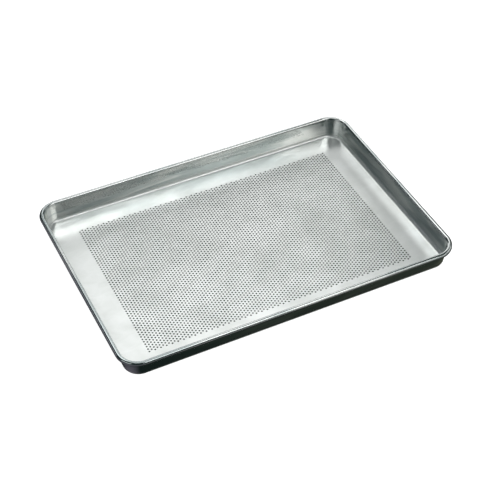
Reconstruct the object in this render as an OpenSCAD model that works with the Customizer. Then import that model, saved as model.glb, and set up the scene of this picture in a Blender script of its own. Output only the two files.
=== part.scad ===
// Perforated full-size baking tray.
// One sheet of aluminium is pressed into a shallow tray with drafted sides, and its
// edge is rolled outward and down round a steel rod. The origin is the centre of the
// resting face: X runs along the long side, Y along the short side, Z is up.

/* [Tray] */
// Overall length over the rolled rim
tray_length = 660; // [400:1:700]
// Overall width over the rolled rim
tray_width = 457; // [300:1:500]
// Overall height from the resting face to the top of the rim
tray_height = 45; // [25:1:60]
// Corner radius of the tray, measured round the outside of the rim
corner_radius = 42; // [34:1:60]
// Lean of the sides away from upright, in degrees
draft_angle = 7; // [3:0.5:12]

/* [Sheet] */
// Thickness of the aluminium sheet
sheet = 1.2; // [0.8:0.1:1.6]
// Outside radius of the bend between the floor and the sides
bend_radius = 7.5; // [4:0.5:10]

/* [Rolled rim] */
// Outside diameter of the rolled rim
bead_diameter = 9.5; // [8:0.1:12]
// Angle that the roll turns through below the horizontal, back towards the side
curl_angle = 130; // [90:5:135]
// Diameter of the steel rod inside the rim
wire_diameter = 6.5; // [4:0.1:6.9]
// Gap between the two butted ends of the rod, in the middle of the front
wire_gap = 1; // [0.5:0.5:4]

/* [Hidden] */

$fn = 48;
aluminium = "#c9cfcd";
steel = "#8d9092";

bead_r = bead_diameter / 2;
bead_z = tray_height - bead_r;

// Radius of the corner measured along the middle of the rim, and the corner centres.
rim_corner = corner_radius - bead_r;
corner_x = tray_length / 2 - corner_radius;
corner_y = tray_width / 2 - corner_radius;

// Centre of the floor bend, in the leaning axes whose origin is the middle of the rim.
bend_out = -(bead_r - sheet + bend_radius);
bend_down = (bend_radius - bead_z + bend_out * sin(draft_angle)) / cos(draft_angle);

// Corner radius of the flat part of the floor, where the bend begins.
floor_corner = rim_corner + bend_out * cos(draft_angle) + bend_down * sin(draft_angle);

// A wedge with its point at the origin, from one angle to another less than 180 on.
module wedge(from, to, reach) {
    middle = (from + to) / 2;
    polygon([
        [0, 0],
        reach * [cos(from), sin(from)],
        2 * reach * [cos(middle), sin(middle)],
        reach * [cos(to), sin(to)],
    ]);
}

module ring(outer) {
    difference() {
        circle(r = outer);
        circle(r = outer - sheet);
    }
}

// Section of the rolled rim about the middle of the rim: it leaves the side at 180
// degrees, goes over the top and under, and stops just short of the side.
module curl_section() {
    difference() {
        ring(bead_r);
        wedge(180, 360 - curl_angle, 2 * bead_r);
    }
}

module side_section() {
    translate([-bead_r, bend_down])
        square([sheet, -bend_down]);
}

module bend_section() {
    translate([bend_out, bend_down])
        intersection() {
            ring(bend_radius);
            wedge(draft_angle - 90, 0, 2 * bend_radius);
        }
}

// Whole section of the side, measured outward from the corner's centre.
module wall_section() {
    translate([rim_corner, bead_z])
        rotate(-draft_angle) {
            curl_section();
            side_section();
            bend_section();
        }
}

module wire_section() {
    translate([rim_corner, bead_z])
        circle(d = wire_diameter);
}

// Sweeps a section round one corner, whose place is given by its two signs.
module sweep_corner(sx, sy) {
    start = sx > 0 ? (sy > 0 ? 0 : 270) : (sy > 0 ? 90 : 180);
    translate([sx * corner_x, sy * corner_y])
        rotate(start)
            rotate_extrude(angle = 90, $fn = 96)
                children();
}

// Sweeps a section along one straight side, which faces the given direction.
module sweep_side(facing, run, offset_out) {
    rotate(facing)
        translate([offset_out, run / 2, 0])
            rotate([90, 0, 0])
                linear_extrude(run)
                    children();
}

module floor_outline() {
    for (sx = [-1, 1], sy = [-1, 1])
        translate([sx * corner_x, sy * corner_y])
            circle(r = floor_corner, $fn = 96);
    square([2 * (corner_x + floor_corner), 2 * corner_y], center = true);
    square([2 * corner_x, 2 * (corner_y + floor_corner)], center = true);
}

// Flat floor of the pressed sheet, up to the start of the bend. It is drawn plain: the
// thousands of small holes through it are left to the surface model.
module perforated_floor() {
    color(aluminium)
        linear_extrude(sheet)
            floor_outline();
}

// The rest of the same sheet is its bend, drafted side and rolled rim, taken in eight
// stretches that meet face to face: four straight ones and four corners.
module long_stretch(facing) {
    color(aluminium)
        sweep_side(facing, 2 * corner_x, corner_y)
            wall_section();
}

module short_stretch(facing) {
    color(aluminium)
        sweep_side(facing, 2 * corner_y, corner_x)
            wall_section();
}

module corner_stretch(sx, sy) {
    color(aluminium)
        sweep_corner(sx, sy)
            wall_section();
}

module front_side() { long_stretch(270); }
module back_side() { long_stretch(90); }
module left_side() { short_stretch(180); }
module right_side() { short_stretch(0); }
module front_left_corner() { corner_stretch(-1, -1); }
module front_right_corner() { corner_stretch(1, -1); }
module back_left_corner() { corner_stretch(-1, 1); }
module back_right_corner() { corner_stretch(1, 1); }

// Steel rod inside the rolled rim, bent to a loop with its two ends butted.
module rim_wire() {
    color(steel)
        difference() {
            union() {
                for (sx = [-1, 1], sy = [-1, 1])
                    sweep_corner(sx, sy)
                        wire_section();
                for (facing = [0, 180])
                    sweep_side(facing, 2 * corner_y, corner_x)
                        wire_section();
                for (facing = [90, 270])
                    sweep_side(facing, 2 * corner_x, corner_y)
                        wire_section();
            }
            translate([0, -corner_y - rim_corner, bead_z])
                cube([wire_gap, 2 * bead_diameter, 2 * bead_diameter], center = true);
        }
}

perforated_floor();
front_side();
back_side();
left_side();
right_side();
front_left_corner();
front_right_corner();
back_left_corner();
back_right_corner();
rim_wire();
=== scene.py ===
"""Looks of a perforated aluminium sheet pan with a wired rim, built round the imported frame.

Lengths are in metres. +X is the tray's long way, -Y its front, and it rests on z = 0.
"""
import math

import bpy
import numpy as np
from mathutils import Matrix, Vector
from mathutils.geometry import delaunay_2d_cdt


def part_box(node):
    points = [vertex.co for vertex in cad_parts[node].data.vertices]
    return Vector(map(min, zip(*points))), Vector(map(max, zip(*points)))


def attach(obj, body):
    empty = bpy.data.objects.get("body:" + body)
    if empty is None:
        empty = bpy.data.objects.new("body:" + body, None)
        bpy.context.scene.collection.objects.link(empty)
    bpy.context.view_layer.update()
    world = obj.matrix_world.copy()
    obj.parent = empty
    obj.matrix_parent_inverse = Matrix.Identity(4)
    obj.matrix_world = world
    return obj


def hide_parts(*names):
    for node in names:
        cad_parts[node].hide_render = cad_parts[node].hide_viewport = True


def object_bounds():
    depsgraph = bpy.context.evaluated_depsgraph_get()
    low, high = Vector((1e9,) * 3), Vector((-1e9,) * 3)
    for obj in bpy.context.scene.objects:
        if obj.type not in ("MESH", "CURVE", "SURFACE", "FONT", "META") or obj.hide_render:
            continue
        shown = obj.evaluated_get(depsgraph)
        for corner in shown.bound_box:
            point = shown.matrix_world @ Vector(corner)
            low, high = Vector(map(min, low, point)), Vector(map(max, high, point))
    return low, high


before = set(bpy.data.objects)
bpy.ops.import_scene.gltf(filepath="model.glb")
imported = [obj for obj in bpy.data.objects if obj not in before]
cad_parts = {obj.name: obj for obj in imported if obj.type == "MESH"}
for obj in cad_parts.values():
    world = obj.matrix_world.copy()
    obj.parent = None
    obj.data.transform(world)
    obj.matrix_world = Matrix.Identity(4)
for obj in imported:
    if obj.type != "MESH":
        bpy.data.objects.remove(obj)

# ---- Dimensions read from the frame -------------------------------------------------------

CAD_LOW, CAD_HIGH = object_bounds()
FLOOR_LOW, FLOOR_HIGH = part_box("perforated_floor")
CORNER_LOW, CORNER_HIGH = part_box("front_right_corner")
WIRE_LOW, WIRE_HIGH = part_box("rim_wire")

SHEET = FLOOR_HIGH.z - FLOOR_LOW.z
BEAD_Z = (WIRE_LOW.z + WIRE_HIGH.z) / 2
BEAD_RADIUS = CAD_HIGH.z - BEAD_Z
CORNER_X = CORNER_LOW.x
CORNER_Y = -CORNER_HIGH.y
RIM_CORNER = CAD_HIGH.x - CORNER_X - BEAD_RADIUS

# ---- Shape of the pressed sheet -----------------------------------------------------------

MM = 0.001
DRAFT = math.radians(7)
BEND_RADIUS = 7.5 * MM
CURL_END = math.radians(-130)

# The floor is slightly dished: it rises towards its bend all the way round
DISH_ANGLE = math.radians(7)
DISH_RUN = 22 * MM
DISH_RISE = DISH_RUN * math.tan(DISH_ANGLE) / 2

# Centre of the floor bend, in leaning axes whose origin is the middle of the rim
BEND_Z = DISH_RISE + SHEET + (BEND_RADIUS - SHEET) * math.cos(DISH_ANGLE)
BEND_OUT = -(BEAD_RADIUS - SHEET + BEND_RADIUS)
BEND_DOWN = (BEND_Z - BEAD_Z + BEND_OUT * math.sin(DRAFT)) / math.cos(DRAFT)

# The bend begins at BEND_START out from the corner's centre, and the swept sides at
# FLOOR_CORNER, a narrow lip further in
BEND_CENTRE = RIM_CORNER + BEND_OUT * math.cos(DRAFT) + BEND_DOWN * math.sin(DRAFT)
BEND_START = BEND_CENTRE + (BEND_RADIUS - SHEET) * math.sin(DISH_ANGLE)
LIP = 4 * MM
LIP_STEPS = 4
FLOOR_CORNER = BEND_START - LIP
FLOOR_X = CORNER_X + FLOOR_CORNER
FLOOR_Y = CORNER_Y + FLOOR_CORNER

# How finely the section and its sweep are divided
BEND_STEPS = 14
CURL_STEPS = 40
CURL_INSIDE_STEPS = 20
CORNER_STEPS = 24
LONG_STEPS = 48
SHORT_STEPS = 32

# Where the straight side is divided, as fractions of its height
SIDE_SPLITS = (0.02, 0.08, 0.18, 0.28, 0.38, 0.48, 0.58, 0.68, 0.78, 0.88, 0.96)

# Perforation: rows along X, holes along Y, every second row half a pitch on
HOLE_PITCH = 6.25 * MM
HOLE_DIAMETER = 3.4 * MM
HOLE_SIDES = 12
ROWS = 98
HOLES_IN_ROW = 55
ROW_STEP = HOLE_PITCH * math.sqrt(3) / 2
FIELD_X = ROWS * ROW_STEP / 2
FIELD_Y = (HOLES_IN_ROW + 0.5) * HOLE_PITCH / 2
MARGIN_GRID = 8 * MM

# Points closer together than this become one
WELD = 0.01 * MM

# The floor's bake map: space round each face, and the depth a wall is given on it
MAP_PADDING = 8 * MM
WALL_ON_MAP = 0.8 * MM

# The floor is a little wavy, as a thin sheet is after pressing. Each wave has its radians
# per metre along X and along Y, its start and its share.
WAVE = 0.7 * MM
WAVE_RUN = 80 * MM
WAVES = ((19, 9, 0.6, 1.0), (11, -24, 2.1, 1.0), (31, 17, 4.0, 0.7))
GRADIENT_STEP = 0.1 * MM

# Ripples left in the sides by drawing, largest at half height. A second, longer ripple
# crosses the first. A lean is how many radians a ripple shifts from the bend to the rim.
RIPPLE = 0.22 * MM
RIPPLE_LENGTH = 46 * MM
RIPPLE_LEAN = 14
CROSSING_SHARE = 0.6
CROSSING_RATE = 0.57
CROSSING_LEAN = 9

# Edges that turn through more than this stay sharp
SHARP_ANGLE = math.radians(35)


def arc(centre, radius, start, end, steps):
    """Points of an arc in the leaning axes, both ends included."""
    angles = [start + (end - start) * i / steps for i in range(steps + 1)]
    return [
        (centre[0] + radius * math.cos(a), centre[1] + radius * math.sin(a))
        for a in angles
    ]


def side_points(x, start, end):
    """Points between the two ends of the straight side, which are left out."""
    return [(x, start + (end - start) * f) for f in SIDE_SPLITS]


def upright(x, z):
    """A point of the leaning axes as its distance out from the corner's centre and its height."""
    out = RIM_CORNER + x * math.cos(DRAFT) + z * math.sin(DRAFT)
    return out, BEAD_Z - x * math.sin(DRAFT) + z * math.cos(DRAFT)


def dish(distance):
    """How far the floor has risen at a distance in from where its bend begins."""
    return DISH_RISE * np.clip(1 - distance / DISH_RUN, 0, 1) ** 2


def sheet_section():
    """Closed outline of the bend, side and rolled rim, from the floor's top to its underside."""
    bend = (BEND_OUT, BEND_DOWN)
    floor_angle = DRAFT - math.pi / 2 + DISH_ANGLE
    inside = -BEAD_RADIUS
    outside = SHEET - BEAD_RADIUS
    points = arc(bend, BEND_RADIUS - SHEET, floor_angle, 0, BEND_STEPS)
    points += side_points(inside, BEND_DOWN, 0)
    points += arc((0, 0), BEAD_RADIUS, math.pi, CURL_END, CURL_STEPS)
    points += arc((0, 0), BEAD_RADIUS - SHEET, CURL_END, math.pi, CURL_INSIDE_STEPS)
    points += side_points(outside, 0, BEND_DOWN)
    points += arc(bend, BEND_RADIUS, 0, floor_angle, BEND_STEPS)
    section = [upright(x, z) for x, z in points]
    lip = [BEND_START - LIP * i / LIP_STEPS for i in range(LIP_STEPS, 0, -1)]
    upper = [(out, dish(BEND_START - out) + SHEET) for out in lip]
    lower = [(out, dish(BEND_START - out)) for out in reversed(lip)]
    return upper + section + lower


def stations():
    """Corner centre and outward direction of each section round the tray, anticlockwise."""
    corners = [(CORNER_X, -CORNER_Y), (CORNER_X, CORNER_Y)]
    corners += [(-CORNER_X, CORNER_Y), (-CORNER_X, -CORNER_Y)]
    places = []
    for k in range(4):
        here = Vector(corners[k])
        there = Vector(corners[(k + 1) % 4])
        for i in range(CORNER_STEPS):
            places.append((here, (k - 1 + i / CORNER_STEPS) * math.pi / 2))
        steps = SHORT_STEPS if k % 2 == 0 else LONG_STEPS
        for i in range(steps):
            places.append((here.lerp(there, i / steps), k * math.pi / 2))
    return places


def mesh_object(name, verts, faces, material):
    """A smooth-shaded mesh with its corners kept sharp."""
    mesh = bpy.data.meshes.new(name)
    mesh.from_pydata(verts, [], faces)
    mesh.validate()
    mesh.shade_smooth()
    mesh.set_sharp_from_angle(angle=SHARP_ANGLE)
    mesh.materials.append(material)
    piece = bpy.data.objects.new(name, mesh)
    bpy.context.scene.collection.objects.link(piece)
    return piece


def ripple(x, y, z):
    """How far the drawn side stands in at a point: nothing at its bend and at its rim."""
    low_end = BEND_RADIUS
    high_end = BEAD_Z - BEAD_RADIUS
    t = min(max((z - low_end) / (high_end - low_end), 0), 1)
    turn = 2 * math.pi / RIPPLE_LENGTH
    wave = math.sin(turn * (x + y) + RIPPLE_LEAN * t)
    crossing = math.sin(CROSSING_RATE * turn * (x - y) + CROSSING_LEAN * t)
    mixed = (wave + CROSSING_SHARE * crossing) / (1 + CROSSING_SHARE)
    return RIPPLE * (1 + mixed) / 2 * math.sin(math.pi * t) ** 2


def make_sides(material):
    """Bend, drafted side and rolled rim, swept all the way round as one closed solid."""
    section = sheet_section()
    places = stations()
    verts = []
    for centre, angle in places:
        for out, z in section:
            out -= ripple(centre.x, centre.y, z)
            x = centre.x + out * math.cos(angle)
            y = centre.y + out * math.sin(angle)
            verts.append((x, y, z))
    count = len(section)
    faces = []
    for i in range(len(places)):
        a = i * count
        b = (i + 1) % len(places) * count
        for j in range(count):
            k = (j + 1) % count
            faces.append((a + j, a + k, b + k, b + j))
    return mesh_object("drawn_sides", verts, faces, material)


def cell_outline():
    """The six points round one hole's cell, anticlockwise from +X, shared with its neighbours."""
    x = ROW_STEP / 2
    y = HOLE_PITCH / 2
    return [(x, 0), (x, y), (-x, y), (-x, 0), (-x, -y), (x, -y)]


def hole_outline():
    """The points of one hole, anticlockwise from +X."""
    turns = [2 * math.pi * i / HOLE_SIDES for i in range(HOLE_SIDES)]
    return [
        (HOLE_DIAMETER / 2 * math.cos(a), HOLE_DIAMETER / 2 * math.sin(a)) for a in turns
    ]


def ring_triangles(outer, inner):
    """Triangles between two rings that both start at +X and go anticlockwise."""

    def turn(ring, i):
        x, y = ring[i % len(ring)]
        return math.atan2(y, x) % (2 * math.pi) + 2 * math.pi * (i // len(ring))

    triangles = []
    i = j = 0
    while i < len(outer) or j < len(inner):
        o = outer[i % len(outer)]
        n = inner[j % len(inner)]
        grow_outer = i < len(outer) and (
            j == len(inner) or turn(outer, i + 1) <= turn(inner, j + 1)
        )
        if grow_outer:
            i += 1
            triangles.append((o, outer[i % len(outer)], n))
        else:
            j += 1
            triangles.append((o, inner[j % len(inner)], n))
    return triangles


def hole_centres():
    """Every hole's centre, row by row from -X to +X."""
    centres = []
    for i in range(ROWS):
        x = (i + 0.5) * ROW_STEP - FIELD_X
        first = -(HOLES_IN_ROW - 1) / 2 - 0.25 + (i % 2) / 2
        centres += [(x, (first + j) * HOLE_PITCH) for j in range(HOLES_IN_ROW)]
    return np.array(centres)


def field_triangles():
    """Top triangles of the perforated field, as an array of triangles by corner by (x, y)."""
    template = np.array(ring_triangles(cell_outline(), hole_outline()))
    cells = hole_centres()[:, None, None, :] + template[None]
    ends = []
    for i in range(ROWS):
        x0 = i * ROW_STEP - FIELD_X
        x1 = x0 + ROW_STEP
        y0 = -FIELD_Y if i % 2 else FIELD_Y - HOLE_PITCH / 2
        y1 = y0 + HOLE_PITCH / 2
        ends += [[(x0, y0), (x1, y0), (x1, y1)], [(x0, y0), (x1, y1), (x0, y1)]]
    return np.concatenate([cells.reshape(-1, 3, 2), np.array(ends)])


def floor_outline():
    """The outline where the floor meets the swept sides, anticlockwise."""
    return [
        (c.x + FLOOR_CORNER * math.cos(a), c.y + FLOOR_CORNER * math.sin(a))
        for c, a in stations()
    ]


def field_outline():
    """The outline of the perforated field, anticlockwise, at the cells' own corners."""
    across = round(2 * FIELD_Y / (HOLE_PITCH / 2))
    right = [(FIELD_X, -FIELD_Y + i * HOLE_PITCH / 2) for i in range(across)]
    back = [(FIELD_X - i * ROW_STEP, FIELD_Y) for i in range(ROWS)]
    half = right + back
    return half + [(-x, -y) for x, y in half]


def margin_triangles():
    """Triangles of the plain margin round the field, with a grid of points to bend on."""
    outer = floor_outline()
    inner = field_outline()
    points = outer + inner
    edges = [(i, (i + 1) % len(outer)) for i in range(len(outer))]
    start = len(outer)
    edges += [(start + i, start + (i + 1) % len(inner)) for i in range(len(inner))]
    clear = MARGIN_GRID / 2
    for side in (-1, 1):
        near = min(range(start), key=lambda i: math.dist(points[i], (0, side * FLOOR_Y)))
        far = start + min(
            range(len(inner)), key=lambda i: math.dist(inner[i], (0, side * FIELD_Y))
        )
        edges.append((near, far))
    columns = int(FLOOR_X / MARGIN_GRID)
    rows = int(FLOOR_Y / MARGIN_GRID)
    for i in range(-columns, columns + 1):
        for j in range(-rows, rows + 1):
            x = i * MARGIN_GRID
            y = j * MARGIN_GRID
            in_field = abs(x) < FIELD_X + clear and abs(y) < FIELD_Y + clear
            corner = math.hypot(max(abs(x) - CORNER_X, 0), max(abs(y) - CORNER_Y, 0))
            in_floor = abs(x) < FLOOR_X - clear and abs(y) < FLOOR_Y - clear
            in_floor = in_floor and corner < FLOOR_CORNER - clear
            if in_floor and not in_field:
                points.append((x, y))
    placed, _, faces, _, _, _ = delaunay_2d_cdt(
        [Vector(p) for p in points], edges, [], 1, WELD / 10
    )
    placed = np.array([tuple(p) for p in placed])
    triangles = placed[np.array([tuple(f) for f in faces])]
    middle = np.abs(triangles.mean(axis=1))
    return triangles[(middle[:, 0] > FIELD_X) | (middle[:, 1] > FIELD_Y)]


def floor_lift(x, y):
    """How far the pressed floor stands above the resting plane."""
    past_x = np.abs(x) - CORNER_X
    past_y = np.abs(y) - CORNER_Y
    out = np.hypot(np.maximum(past_x, 0), np.maximum(past_y, 0))
    out = out + np.minimum(np.maximum(past_x, past_y), 0)
    t = np.clip((FLOOR_X - np.abs(x)) / WAVE_RUN, 0, 1)
    u = np.clip((FLOOR_Y - np.abs(y)) / WAVE_RUN, 0, 1)
    inner = t * t * (3 - 2 * t) * u * u * (3 - 2 * u)
    waves = sum(share * np.sin(a * x + b * y + start) for a, b, start, share in WAVES)
    waves /= sum(share for *_, share in WAVES)
    return dish(BEND_START - out) + WAVE * inner * (1 + waves) / 2


def floor_normals(x, y):
    """Unit normals of the floor's upper face."""
    step = GRADIENT_STEP
    slope_x = (floor_lift(x + step, y) - floor_lift(x - step, y)) / (2 * step)
    slope_y = (floor_lift(x, y + step) - floor_lift(x, y - step)) / (2 * step)
    normals = np.column_stack([-slope_x, -slope_y, np.ones(len(x))])
    return normals / np.linalg.norm(normals, axis=1)[:, None]


def add_bake_map(piece, plan, top, walls):
    """A flat map for baking: upper face, lower face beside it, hole walls inside their holes."""
    size = 2 * FLOOR_X + 4 * MAP_PADDING
    upper = plan - plan.min(axis=0) + MAP_PADDING
    lower = upper + (FLOOR_X + MAP_PADDING, 0)
    end = upper[walls[:, 0]]
    start = upper[walls[:, 1]]
    along = end - start
    outward = np.column_stack([along[:, 1], -along[:, 0]])
    outward *= WALL_ON_MAP / np.linalg.norm(outward, axis=1)[:, None]
    wall_points = np.stack([end, start, start + outward, end + outward], axis=1)
    points = [
        upper[top.reshape(-1)],
        lower[top[:, ::-1].reshape(-1)],
        wall_points.reshape(-1, 2),
    ]
    layer = piece.data.uv_layers.new(name="OFBake")
    layer.data.foreach_set("uv", (np.concatenate(points) / size).reshape(-1))


def make_floor_half(name, triangles, material, edge_material):
    """A closed solid from the top triangles of one half of the floor."""
    corners = triangles.reshape(-1, 2)
    keys = np.round(corners / WELD).astype(np.int64)
    _, first, index = np.unique(keys, axis=0, return_index=True, return_inverse=True)
    plan = corners[first]
    top = index.reshape(-1, 3)
    top = top[(top[:, 0] != top[:, 1]) & (top[:, 1] != top[:, 2]) & (top[:, 2] != top[:, 0])]
    a, b, c = (plan[top[:, k]] for k in range(3))
    turned = np.cross(b - a, c - a) < 0
    top[turned] = top[turned][:, ::-1]
    count = len(plan)
    starts = top.reshape(-1)
    ends = np.roll(top, -1, axis=1).reshape(-1)
    open_edge = ~np.isin(starts * count + ends, ends * count + starts)
    s = starts[open_edge]
    e = ends[open_edge]
    walls = np.stack([e, s, s + count, e + count], axis=1)
    lift = floor_lift(plan[:, 0], plan[:, 1])
    upper = np.column_stack([plan, lift + SHEET])
    lower = np.column_stack([plan, lift])
    verts = np.concatenate([upper, lower])
    faces = top.tolist() + (top[:, ::-1] + count).tolist() + walls.tolist()
    piece = mesh_object(name, verts.tolist(), faces, material)
    piece.data.materials.append(edge_material)
    is_edge = np.arange(len(faces)) >= 2 * len(top)
    piece.data.polygons.foreach_set("material_index", is_edge.astype(np.int32))
    normals = floor_normals(plan[:, 0], plan[:, 1])
    upper_normals = normals[top.reshape(-1)]
    lower_normals = -normals[top[:, ::-1].reshape(-1)]
    own_normals = np.zeros((4 * len(walls), 3))
    corner_normals = np.concatenate([upper_normals, lower_normals, own_normals])
    piece.data.normals_split_custom_set(corner_normals.tolist())
    add_bake_map(piece, plan, top, walls)
    return piece


def make_floor(material, edge_material):
    """The perforated floor as two halves that meet along x = 0."""
    triangles = np.concatenate([field_triangles(), margin_triangles()])
    left = triangles.mean(axis=1)[:, 0] < 0
    return [
        make_floor_half("perforated_floor_left", triangles[left], material, edge_material),
        make_floor_half("perforated_floor_right", triangles[~left], material, edge_material),
    ]


# ---- Materials ----------------------------------------------------------------------------

# Roughness of the floor's mill finish and of the sides that drawing has burnished
SATIN = 0.33
BURNISHED = 0.10

# Heights over which the satin turns burnished, and over which the rim's top is darkened as
# painted shade
BURNISH_START = 6 * MM
BURNISH_END = 12 * MM
RIM_SHADE_START = 37 * MM
RIM_SHADE_END = 41 * MM

CLEAN_SHEET = (0.872, 0.890, 0.877, 1)
SOILED_SHEET = (0.805, 0.826, 0.805, 1)
RUBBED_SHEET = (0.30, 0.38, 0.39, 1)
# Painted shade: the colour that the top of the rolled rim is darkened towards
RIM_SHADE_SHEET = (0.36, 0.39, 0.39, 1)

# The colour mix node has sockets of the same name for each kind of value
MIX_COLOUR_A = 6
MIX_COLOUR_B = 7
MIX_COLOUR_OUT = 2


class Nodes:
    """Short calls for building one material's node tree."""

    def __init__(self, tree):
        self.tree = tree
        tree.nodes.clear()

    def add(self, kind, **inputs):
        node = self.tree.nodes.new(kind)
        for key, value in inputs.items():
            self.put(node, key.replace("_", " "), value)
        return node

    def put(self, node, key, value):
        if isinstance(value, bpy.types.NodeSocket):
            self.tree.links.new(value, node.inputs[key])
        else:
            node.inputs[key].default_value = value

    def noise(self, coords, stretch, scale, detail, distortion=0.0):
        """A noise texture whose coordinates are first stretched along the axes."""
        mapping = self.add("ShaderNodeMapping", Vector=coords, Scale=stretch)
        texture = self.add(
            "ShaderNodeTexNoise",
            Vector=mapping.outputs["Vector"],
            Scale=scale,
            Detail=detail,
            Distortion=distortion,
        )
        return texture.outputs["Fac"]

    def remap(self, value, low, high, to_low, to_high):
        node = self.add("ShaderNodeMapRange", Value=value, From_Min=low, From_Max=high)
        node.inputs["To Min"].default_value = to_low
        node.inputs["To Max"].default_value = to_high
        return node.outputs["Result"]

    def math(self, operation, a, b):
        node = self.add("ShaderNodeMath")
        node.operation = operation
        self.put(node, 0, a)
        self.put(node, 1, b)
        return node.outputs["Value"]

    def blend(self, factor, a, b):
        node = self.add("ShaderNodeMix")
        node.data_type = "RGBA"
        self.put(node, "Factor", factor)
        self.put(node, MIX_COLOUR_A, a)
        self.put(node, MIX_COLOUR_B, b)
        return node.outputs[MIX_COLOUR_OUT]

    def bump(self, height, distance, normal=None):
        node = self.add("ShaderNodeBump", Height=height, Distance=distance)
        if normal is not None:
            self.put(node, "Normal", normal)
        return node.outputs["Normal"]


def new_material(name):
    material = bpy.data.materials.new(name)
    material.use_nodes = True
    return material, Nodes(material.node_tree)


def finish_metal(nodes, colour, roughness, normal):
    shader = nodes.add(
        "ShaderNodeBsdfPrincipled",
        Base_Color=colour,
        Metallic=1.0,
        Roughness=roughness,
        Normal=normal,
    )
    nodes.add("ShaderNodeOutputMaterial", Surface=shader.outputs["BSDF"])


def sheet_colour(nodes, soil, streaks, height):
    """Clean to soiled, darker where the sides are rubbed, and darker on the rim's top as painted
    shade.
    """
    colour = nodes.blend(nodes.remap(soil, 0.38, 0.62, 0, 1), CLEAN_SHEET, SOILED_SHEET)
    on_sides = nodes.remap(height, BURNISH_START, BURNISH_END, 0, 1)
    rubbed = nodes.math("MULTIPLY", nodes.remap(streaks, 0.44, 0.60, 0, 0.6), on_sides)
    colour = nodes.blend(rubbed, colour, RUBBED_SHEET)
    # Painted shade: the top of the rolled rim is darkened towards its shade colour
    rim_shade = nodes.remap(height, RIM_SHADE_START, RIM_SHADE_END, 0, 0.35)
    return nodes.blend(rim_shade, colour, RIM_SHADE_SHEET)


def sheet_roughness(nodes, soil, grain, coords, height):
    """Satin on the floor and burnished on the sides, rougher on grain and scratches."""
    burnish = nodes.remap(height, BURNISH_START, BURNISH_END, 0, SATIN - BURNISHED)
    scratches = nodes.noise(coords, (0.15, 1, 1), 260, 2, 3.0)
    mark = nodes.remap(scratches, 0.66, 0.72, 0, 1)
    roughness = nodes.remap(soil, 0.35, 0.65, SATIN - 0.05, SATIN + 0.05)
    roughness = nodes.math("SUBTRACT", roughness, burnish)
    roughness = nodes.math("ADD", roughness, nodes.math("MULTIPLY", grain, 0.06))
    return nodes.math("ADD", roughness, nodes.math("MULTIPLY", mark, 0.08))


def aluminium():
    """Rolled aluminium: cloudy handling marks, grain along X, streaks and faint scratches."""
    material, nodes = new_material("aluminium_sheet")
    coords = nodes.add("ShaderNodeTexCoord").outputs["Object"]
    height = nodes.add("ShaderNodeSeparateXYZ", Vector=coords).outputs["Z"]
    clouds = nodes.noise(coords, (1, 1, 1), 11, 3, 0.6)
    smudges = nodes.noise(coords, (1, 1.6, 1), 34, 4, 1.2)
    grain = nodes.noise(coords, (0.03, 1, 1), 420, 3)
    streaks = nodes.noise(coords, (1, 1, 9), 6, 3, 0.6)
    cloud_share = nodes.math("MULTIPLY", clouds, 0.6)
    smudge_share = nodes.math("MULTIPLY", smudges, 0.4)
    soil = nodes.math("ADD", cloud_share, smudge_share)
    colour = sheet_colour(nodes, soil, streaks, height)
    roughness = sheet_roughness(nodes, soil, grain, coords, height)
    normal = nodes.bump(clouds, 0.45 * MM)
    normal = nodes.bump(streaks, 0.9 * MM, normal)
    normal = nodes.bump(grain, 0.005 * MM, normal)
    finish_metal(nodes, colour, roughness, normal)
    return material


def punched_edge_painted_shade():
    """The sheared walls of the holes, duller than the rolled faces, and coloured dark as painted
    shade inside the holes.
    """
    material, nodes = new_material("punched_edge_painted_shade")
    coords = nodes.add("ShaderNodeTexCoord").outputs["Object"]
    tearing = nodes.noise(coords, (1, 1, 0.3), 2500, 2)
    # Painted shade: the hole walls are coloured dark for the shade inside the holes; the tearing
    # pattern and dullness are the sheared finish
    colour = nodes.blend(tearing, (0.26, 0.29, 0.27, 1), (0.42, 0.45, 0.43, 1))
    roughness = nodes.remap(tearing, 0.3, 0.7, 0.45, 0.6)
    finish_metal(nodes, colour, roughness, nodes.bump(tearing, 0.02 * MM))
    return material


def rod_steel():
    """Drawn, galvanised steel rod: dull grey with zinc spangle."""
    material, nodes = new_material("rod_steel")
    coords = nodes.add("ShaderNodeTexCoord").outputs["Object"]
    spangle = nodes.add("ShaderNodeTexVoronoi", Vector=coords, Scale=450)
    dust = nodes.noise(coords, (1, 1, 1), 120, 4)
    colour = nodes.blend(
        spangle.outputs["Color"], (0.46, 0.47, 0.48, 1), (0.60, 0.61, 0.62, 1)
    )
    roughness = nodes.remap(dust, 0.3, 0.7, 0.34, 0.52)
    finish_metal(nodes, colour, roughness, nodes.bump(dust, 0.05 * MM))
    return material


# ---- Stage, light and camera --------------------------------------------------------------

CAMERA_PLACE = Vector((-0.751, -1.554, 1.629))
CAMERA_TARGET = Vector((0.0005, 0.0144, 0))
CAMERA_ROLL = math.radians(-0.46)
LENS_MM = 94.87
SENSOR_MM = 36

STAGE_HALF_SIZE = 30
STAGE_Z = -1.0 * MM
# Painted shade: a dark sheet just under the tray darkens what the holes show
SHADE_SHEET_Z = -0.4 * MM
SHADE_SHEET_INSET = 12 * MM

SOFTBOX_DISTANCE = 3.0
WHITE = (1.0, 1.0, 1.0)

# Colours of the table below the horizon, in directions from -X, at 0, to +X, at 1
TABLE = (
    (0.20, (0.150, 0.135, 0.165, 1)),
    (0.42, (0.012, 0.020, 0.018, 1)),
    (0.62, (0.014, 0.022, 0.019, 1)),
    (0.85, (0.075, 0.080, 0.060, 1)),
)
TABLE_EDGE_LEFT = (0.12, 0.11, 0.13, 1)
TABLE_EDGE_RIGHT = (0.34, 0.33, 0.33, 1)
CEILING = (0.020, 0.036, 0.036, 1)


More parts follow.
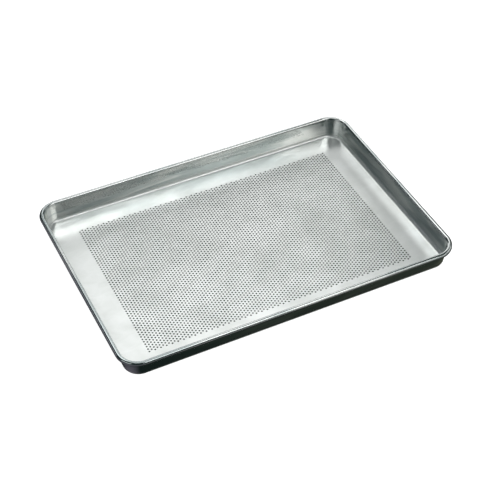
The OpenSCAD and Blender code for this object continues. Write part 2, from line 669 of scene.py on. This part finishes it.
def stage_plane(name, half_x, half_y, z, material):
    corners = [(-half_x, -half_y, z), (half_x, -half_y, z), (half_x, half_y, z)]
    corners.append((-half_x, half_y, z))
    mesh = bpy.data.meshes.new(name)
    mesh.from_pydata(corners, [], [(0, 1, 2, 3)])
    mesh.materials.append(material)
    plane = bpy.data.objects.new(name, mesh)
    bpy.context.scene.collection.objects.link(plane)
    return plane


def white_floor():
    """A pale floor bright enough to read as pure white."""
    material, nodes = new_material("stage_white")
    diffuse = nodes.add("ShaderNodeBsdfDiffuse", Color=(0.8, 0.8, 0.8, 1))
    glow = nodes.add("ShaderNodeEmission", Color=(1, 1, 1, 1), Strength=1.0)
    both = nodes.add("ShaderNodeAddShader")
    nodes.put(both, 0, diffuse.outputs["BSDF"])
    nodes.put(both, 1, glow.outputs["Emission"])
    nodes.add("ShaderNodeOutputMaterial", Surface=both.outputs["Shader"])
    return material


def painted_shade_sheet():
    """Painted shade: a nearly black sheet, seen only through the holes, standing in for the shade
    under the tray.
    """
    material, nodes = new_material("stage_painted_shade")
    diffuse = nodes.add("ShaderNodeBsdfDiffuse", Color=(0.012, 0.016, 0.014, 1))
    nodes.add("ShaderNodeOutputMaterial", Surface=diffuse.outputs["BSDF"])
    return material


def make_stage():
    """A white floor that the metal doesn't mirror, and a dark sheet hidden under the tray as
    painted shade seen through the holes.
    """
    floor = stage_plane("stage_floor", STAGE_HALF_SIZE, STAGE_HALF_SIZE, STAGE_Z, white_floor())
    floor.visible_glossy = False
    floor.visible_diffuse = False
    shade_sheet_x = FLOOR_X - SHADE_SHEET_INSET
    shade_sheet_y = FLOOR_Y - SHADE_SHEET_INSET
    stage_plane("stage_painted_shade", shade_sheet_x, shade_sheet_y, SHADE_SHEET_Z, painted_shade_sheet())


def softbox(name, azimuth, elevation, width, height, radiance, tint=WHITE):
    """An area light facing the tray, at an azimuth from +Y towards +X and an elevation."""
    a = math.radians(azimuth)
    e = math.radians(elevation)
    towards = Vector((math.sin(a) * math.cos(e), math.cos(a) * math.cos(e), math.sin(e)))
    lamp = bpy.data.lights.new(name, "AREA")
    lamp.shape = "RECTANGLE"
    lamp.size = width
    lamp.size_y = height
    lamp.energy = radiance * math.pi * width * height
    lamp.color = tint
    lamp_object = bpy.data.objects.new(name, lamp)
    lamp_object.location = towards * SOFTBOX_DISTANCE
    lamp_object.rotation_euler = (-towards).to_track_quat("-Z", "Y").to_euler()
    bpy.context.scene.collection.objects.link(lamp_object)


def make_lights():
    """Softboxes for what the floor, the sides and the rim mirror from each direction."""
    softbox("back_softbox", 16, 54, 2.0, 1.5, 1.28)
    softbox("backdrop", 22, 17, 3.4, 1.1, 1.5)
    softbox("back_left_softbox", -18, 58, 0.8, 0.8, 1.8)
    softbox("left_strip", -52, 18, 1.0, 0.4, 0.9, (0.95, 0.90, 1.0))
    softbox("back_right_softbox", 42, 36, 1.8, 1.0, 0.3, (1.0, 1.0, 0.98))
    softbox("overhead", 0, 88, 1.6, 1.2, 0.9)
    softbox("left_side", -105, 30, 2.0, 1.4, 0.8)
    softbox("right_side", 98, 30, 1.8, 1.4, 0.7)
    softbox("front_top", 152, 58, 1.6, 1.1, 2.5)
    softbox("front_fill", 142, 28, 2.0, 1.0, 1.35, (1.0, 0.98, 0.95))


def surroundings(nodes):
    """A dim cool studio above, and a dark table that is lighter at its far edges."""
    coords = nodes.add("ShaderNodeTexCoord").outputs["Generated"]
    direction = nodes.add("ShaderNodeSeparateXYZ", Vector=coords)
    across = nodes.remap(direction.outputs["X"], -1, 1, 0, 1)
    ramp = nodes.add("ShaderNodeValToRGB", Fac=across)
    stops = ramp.color_ramp.elements
    while len(stops) < len(TABLE):
        stops.new(1.0)
    for stop, (position, colour) in zip(stops, TABLE):
        stop.position = position
        stop.color = colour
    edge = nodes.blend(across, TABLE_EDGE_LEFT, TABLE_EDGE_RIGHT)
    near_edge = nodes.remap(direction.outputs["Z"], -0.6, -0.2, 0, 1)
    table = nodes.blend(near_edge, ramp.outputs["Color"], edge)
    above = nodes.remap(direction.outputs["Z"], 0.0, 0.1, 0, 1)
    colour = nodes.blend(above, table, CEILING)
    return nodes.add("ShaderNodeBackground", Color=colour, Strength=1.0)


def make_world():
    """White to the camera, the dim surroundings to everything else."""
    world = bpy.data.worlds.new("studio")
    world.use_nodes = True
    nodes = Nodes(world.node_tree)
    path = nodes.add("ShaderNodeLightPath")
    white = nodes.add("ShaderNodeBackground", Color=(1, 1, 1, 1), Strength=1.0)
    dim = surroundings(nodes)
    mix = nodes.add("ShaderNodeMixShader")
    nodes.put(mix, 0, path.outputs["Is Camera Ray"])
    nodes.put(mix, 1, dim.outputs["Background"])
    nodes.put(mix, 2, white.outputs["Background"])
    nodes.add("ShaderNodeOutputWorld", Surface=mix.outputs["Shader"])
    bpy.context.scene.world = world


def make_camera():
    """The camera looks down on the tray from its front left, with a slight roll."""
    data = bpy.data.cameras.new("camera")
    data.sensor_width = SENSOR_MM
    data.lens = LENS_MM
    camera = bpy.data.objects.new("camera", data)
    forward = (CAMERA_TARGET - CAMERA_PLACE).normalized()
    level = forward.cross(Vector((0, 0, 1))).normalized()
    right = Matrix.Rotation(-CAMERA_ROLL, 3, forward) @ level
    up = right.cross(forward)
    axes = Matrix((right, up, -forward)).transposed()
    camera.matrix_world = Matrix.Translation(CAMERA_PLACE) @ axes.to_4x4()
    bpy.context.scene.collection.objects.link(camera)
    bpy.context.scene.camera = camera


def make_tray():
    """The sheet's pieces stand for their CAD nodes, and the rod's node gets its own finish."""
    sheet = aluminium()
    sides = make_sides(sheet)
    stretches = [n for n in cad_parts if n.endswith(("_side", "_corner"))]
    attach(sides, "root")
    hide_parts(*stretches)
    for half in make_floor(sheet, punched_edge_painted_shade()):
        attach(half, "root")
        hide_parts("perforated_floor")
    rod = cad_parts["rim_wire"]
    steel = rod_steel()
    for material_slot in rod.material_slots:
        material_slot.material = steel


make_tray()
make_stage()
make_lights()
make_world()
make_camera()
bpy.context.scene.view_settings.view_transform = "Standard"
